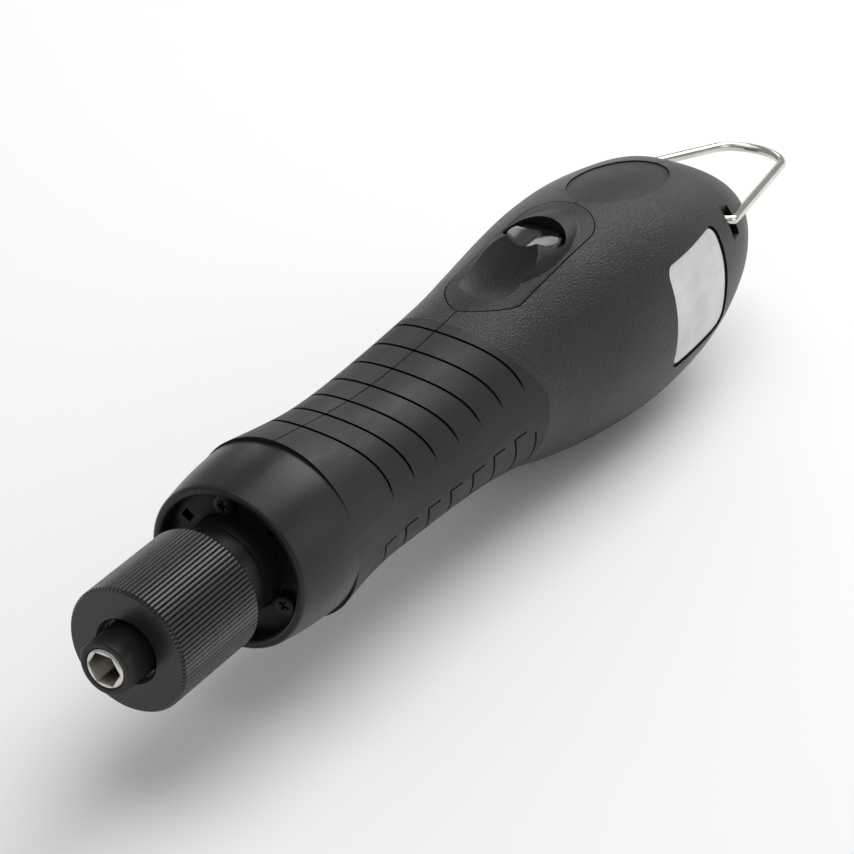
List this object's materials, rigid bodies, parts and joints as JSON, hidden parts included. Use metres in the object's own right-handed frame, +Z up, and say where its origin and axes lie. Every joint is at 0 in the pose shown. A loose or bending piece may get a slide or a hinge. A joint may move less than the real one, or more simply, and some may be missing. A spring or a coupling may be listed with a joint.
{
  "type": "electric torque screwdriver",
  "caption": "Push-to-start electric torque screwdriver with waisted grip, knurled torque nut, quick-change hex bit holder, direction rocker and hanging bail.",
  "frame": {"origin": "centre of the bit holder's front face, on the tool axis", "axes": "+X back along the tool axis, +Y the tool's left, +Z up through the direction rocker"},
  "size_m": [0.2694, 0.05, 0.0578],
  "materials": {
    "abs_black": "satin, fine moulded texture",
    "rubber_black": "soft matt",
    "panel_black": "satin, fine moulded texture",
    "cap_black": "smooth satin",
    "plate_grey": "matt black",
    "screw_black": "black oxide",
    "label_silver": "satin foil, left bare",
    "rocker_black": "polished",
    "anodised_black": "black anodised",
    "barrel_black": "black oxide",
    "collar_black": "black oxide, satin",
    "holder_steel": "turned and nickel plated",
    "bright_wire": "bright nickel",
    "nickel": "nickel plated",
    "steel": "ground",
    "gear_steel": "hardened",
    "spring_steel": "drawn wire",
    "aluminium_case": "machined",
    "bronze": "sintered",
    "copper": "enamelled wire",
    "brass_pins": "plated",
    "board_green": "solder mask"
  },
  "bodies": {
    "housing": {"housing_left": "abs_black", "housing_right": "abs_black", "grip_left": "rubber_black", "grip_right": "rubber_black", "front_cap": "cap_black", "front_plate": "plate_grey", "plate_screws": "screw_black", "housing_screws": "screw_black", "switch_panel": "panel_black", "rocker_pin": "steel", "direction_switch": "abs_black", "label_plate": "label_silver", "top_pad": "abs_black", "clutch_barrel": "barrel_black", "carrier_bush": "bronze", "clutch_balls": "steel", "thrust_washer": "steel", "clutch_spring": "spring_steel", "clutch_ring": "gear_steel", "ring_gear": "gear_steel", "gear_case": "aluminium_case", "motor_can": "steel", "motor_front_bell": "aluminium_case", "motor_rear_bell": "aluminium_case", "motor_bearings": "steel", "stator_core": "gear_steel", "stator_coils": "copper", "start_spring": "spring_steel", "start_sensor": "abs_black", "control_board": "board_green", "board_parts": "abs_black", "connector_shell": "nickel", "connector_nut": "nickel", "connector_insert": "abs_black", "connector_pins": "brass_pins"},
    "hanger": {"bail": "bright_wire"},
    "rocker": {"direction_rocker": "rocker_black"},
    "seat": {"spring_seat": "steel"},
    "nut": {"torque_nut": "anodised_black"},
    "push_rod": {"start_rod": "steel"},
    "bit_spindle": {"spindle": "holder_steel", "detent_balls": "steel", "collar_clip": "steel", "collar_spring": "spring_steel"},
    "collar": {"bit_collar": "collar_black"},
    "rotor": {"motor_shaft": "steel", "rotor_magnet": "gear_steel", "motor_sun": "gear_steel"},
    "input_stage": {"input_carrier": "gear_steel", "input_pins": "steel", "output_sun": "gear_steel"},
    "output_stage": {"output_carrier": "gear_steel", "output_pins": "steel"},
    "input_planet_body_1": {"input_planet_1": "gear_steel"},
    "input_planet_body_2": {"input_planet_2": "gear_steel"},
    "input_planet_body_3": {"input_planet_3": "gear_steel"},
    "output_planet_body_1": {"output_planet_1": "gear_steel"},
    "output_planet_body_2": {"output_planet_2": "gear_steel"},
    "output_planet_body_3": {"output_planet_3": "gear_steel"}
  },
  "joints": [
    {"name": "bail_swing", "type": "hinge", "parent": "housing", "child": "hanger", "pos_m": [0.2132, 0, 0.0047], "axis": [0, -1, 0], "range_deg": [0, 150]},
    {"name": "rocker_tilt", "type": "hinge", "parent": "housing", "child": "rocker", "pos_m": [0.1572, 0, 0.0172], "axis": [1, 0, 0], "range_deg": [-8, 8]},
    {"name": "seat_slide", "type": "slide", "parent": "housing", "child": "seat", "axis": [1, 0, 0], "range_m": [-0.002, 0.006], "deforming": ["clutch_spring"]},
    {"name": "nut_turn", "type": "hinge", "parent": "seat", "child": "nut", "pos_m": [0, 0, 0], "axis": [1, 0, 0], "range_deg": [-720, 2160]},
    {"name": "start_push", "type": "slide", "parent": "housing", "child": "push_rod", "axis": [1, 0, 0], "range_m": [0, 0.0025], "stiffness_N_per_m": 1200, "springref_m": -0.003, "deforming": ["start_spring"]},
    {"name": "spindle_spin", "type": "hinge", "parent": "push_rod", "child": "bit_spindle", "pos_m": [0, 0, 0], "axis": [1, 0, 0], "continuous": true},
    {"name": "collar_pull", "type": "slide", "parent": "bit_spindle", "child": "collar", "axis": [1, 0, 0], "range_m": [0, 0.002], "stiffness_N_per_m": 1500, "springref_m": -0.002, "deforming": ["collar_spring"]},
    {"name": "rotor_spin", "type": "hinge", "parent": "housing", "child": "rotor", "pos_m": [0.094, 0, 0], "axis": [1, 0, 0], "continuous": true},
    {"name": "input_carrier_spin", "type": "hinge", "parent": "housing", "child": "input_stage", "pos_m": [0.059, 0, 0], "axis": [1, 0, 0], "continuous": true},
    {"name": "output_carrier_spin", "type": "hinge", "parent": "housing", "child": "output_stage", "pos_m": [0.05, 0, 0], "axis": [1, 0, 0], "continuous": true},
    {"name": "input_planet_1_spin", "type": "hinge", "parent": "input_stage", "child": "input_planet_body_1", "pos_m": [0.0637, 0.00675, 0], "axis": [1, 0, 0], "continuous": true},
    {"name": "input_planet_2_spin", "type": "hinge", "parent": "input_stage", "child": "input_planet_body_2", "pos_m": [0.0637, -0.00337, 0.00585], "axis": [1, 0, 0], "continuous": true},
    {"name": "input_planet_3_spin", "type": "hinge", "parent": "input_stage", "child": "input_planet_body_3", "pos_m": [0.0637, -0.00337, -0.00585], "axis": [1, 0, 0], "continuous": true},
    {"name": "output_planet_1_spin", "type": "hinge", "parent": "output_stage", "child": "output_planet_body_1", "pos_m": [0.0547, 0.00675, 0], "axis": [1, 0, 0], "continuous": true},
    {"name": "output_planet_2_spin", "type": "hinge", "parent": "output_stage", "child": "output_planet_body_2", "pos_m": [0.0547, -0.00337, 0.00585], "axis": [1, 0, 0], "continuous": true},
    {"name": "output_planet_3_spin", "type": "hinge", "parent": "output_stage", "child": "output_planet_body_3", "pos_m": [0.0547, -0.00337, -0.00585], "axis": [1, 0, 0], "continuous": true}
  ],
  "couplings": [
    {"joint": "seat_slide", "follows": "nut_turn", "m_per_rad": 0.00015915},
    {"joint": "input_carrier_spin", "follows": "rotor_spin", "ratio": 0.22222},
    {"joint": "output_carrier_spin", "follows": "rotor_spin", "ratio": 0.049383},
    {"joint": "spindle_spin", "follows": "rotor_spin", "ratio": 0.049383},
    {"joint": "input_planet_1_spin", "follows": "rotor_spin", "ratio": -0.62222},
    {"joint": "input_planet_2_spin", "follows": "rotor_spin", "ratio": -0.62222},
    {"joint": "input_planet_3_spin", "follows": "rotor_spin", "ratio": -0.62222},
    {"joint": "output_planet_1_spin", "follows": "rotor_spin", "ratio": -0.13827},
    {"joint": "output_planet_2_spin", "follows": "rotor_spin", "ratio": -0.13827},
    {"joint": "output_planet_3_spin", "follows": "rotor_spin", "ratio": -0.13827}
  ]
}
